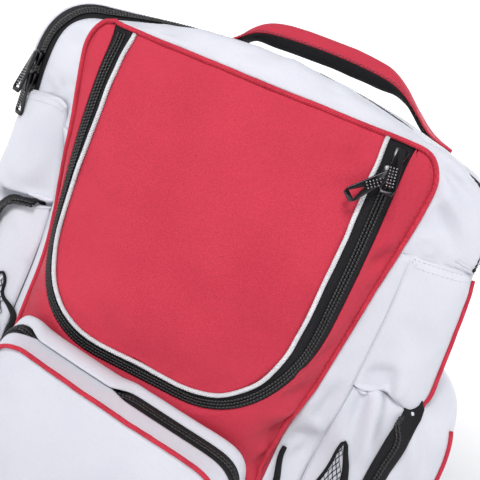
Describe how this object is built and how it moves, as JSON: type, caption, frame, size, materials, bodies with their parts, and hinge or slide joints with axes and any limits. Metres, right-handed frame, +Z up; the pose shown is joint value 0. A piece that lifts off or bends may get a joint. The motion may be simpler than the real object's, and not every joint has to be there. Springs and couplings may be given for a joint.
{
  "type": "sports backpack",
  "caption": "Boxy cloth sports backpack with a zipped front flap, front and side pockets, padded top handle and shoulder straps",
  "frame": {"origin": "centre of the bounding box on the floor", "axes": "+Z up, -Y towards the front of the bag, +X to the right seen from the front"},
  "size_m": [0.418, 0.275, 0.4647],
  "materials": {
    "white_cloth": "matte",
    "red_cloth": "matte",
    "black_cloth": "matte",
    "zip_tape": "matte",
    "black_mesh": "matte",
    "zip_metal": "satin"
  },
  "bodies": {
    "root": {"zip_gusset_front": "white_cloth", "zip_gusset_back": "white_cloth", "front_strip_left": "white_cloth", "front_strip_right": "white_cloth", "side_panel_left": "white_cloth", "side_panel_right": "white_cloth", "upper_pocket_left": "white_cloth", "upper_pocket_right": "white_cloth", "lower_pocket_left": "white_cloth", "lower_pocket_right": "white_cloth", "pocket_face": "white_cloth", "pocket_gusset_rear": "white_cloth", "pocket_gusset_front": "white_cloth", "pocket_band": "white_cloth", "flap_piping": "white_cloth", "front_flap": "red_cloth", "front_panel": "red_cloth", "front_piping": "red_cloth", "pocket_piping": "red_cloth", "upper_piping_left": "red_cloth", "upper_piping_right": "red_cloth", "lower_piping_left": "red_cloth", "lower_piping_right": "red_cloth", "handle_top": "red_cloth", "back_panel": "black_cloth", "base_panel": "black_cloth", "shoulder_strap_left": "black_cloth", "shoulder_strap_right": "black_cloth", "handle_lining": "black_cloth", "mesh_binding_left": "black_cloth", "mesh_binding_right": "black_cloth", "front_zip": "zip_tape", "main_zip": "zip_tape", "pocket_zip": "zip_tape", "lower_zip_left": "zip_tape", "lower_zip_right": "zip_tape", "mesh_pocket_left": "black_mesh", "mesh_pocket_right": "black_mesh", "front_slider_upper": "zip_metal", "front_slider_lower": "zip_metal", "front_tab_upper": "zip_metal", "front_tab_lower": "zip_metal", "main_slider_upper": "zip_metal", "main_slider_lower": "zip_metal", "main_tab_upper": "zip_metal", "main_tab_lower": "zip_metal", "side_slider_left": "zip_metal", "side_slider_right": "zip_metal", "pocket_slider": "zip_metal"}
  },
  "joints": []
}
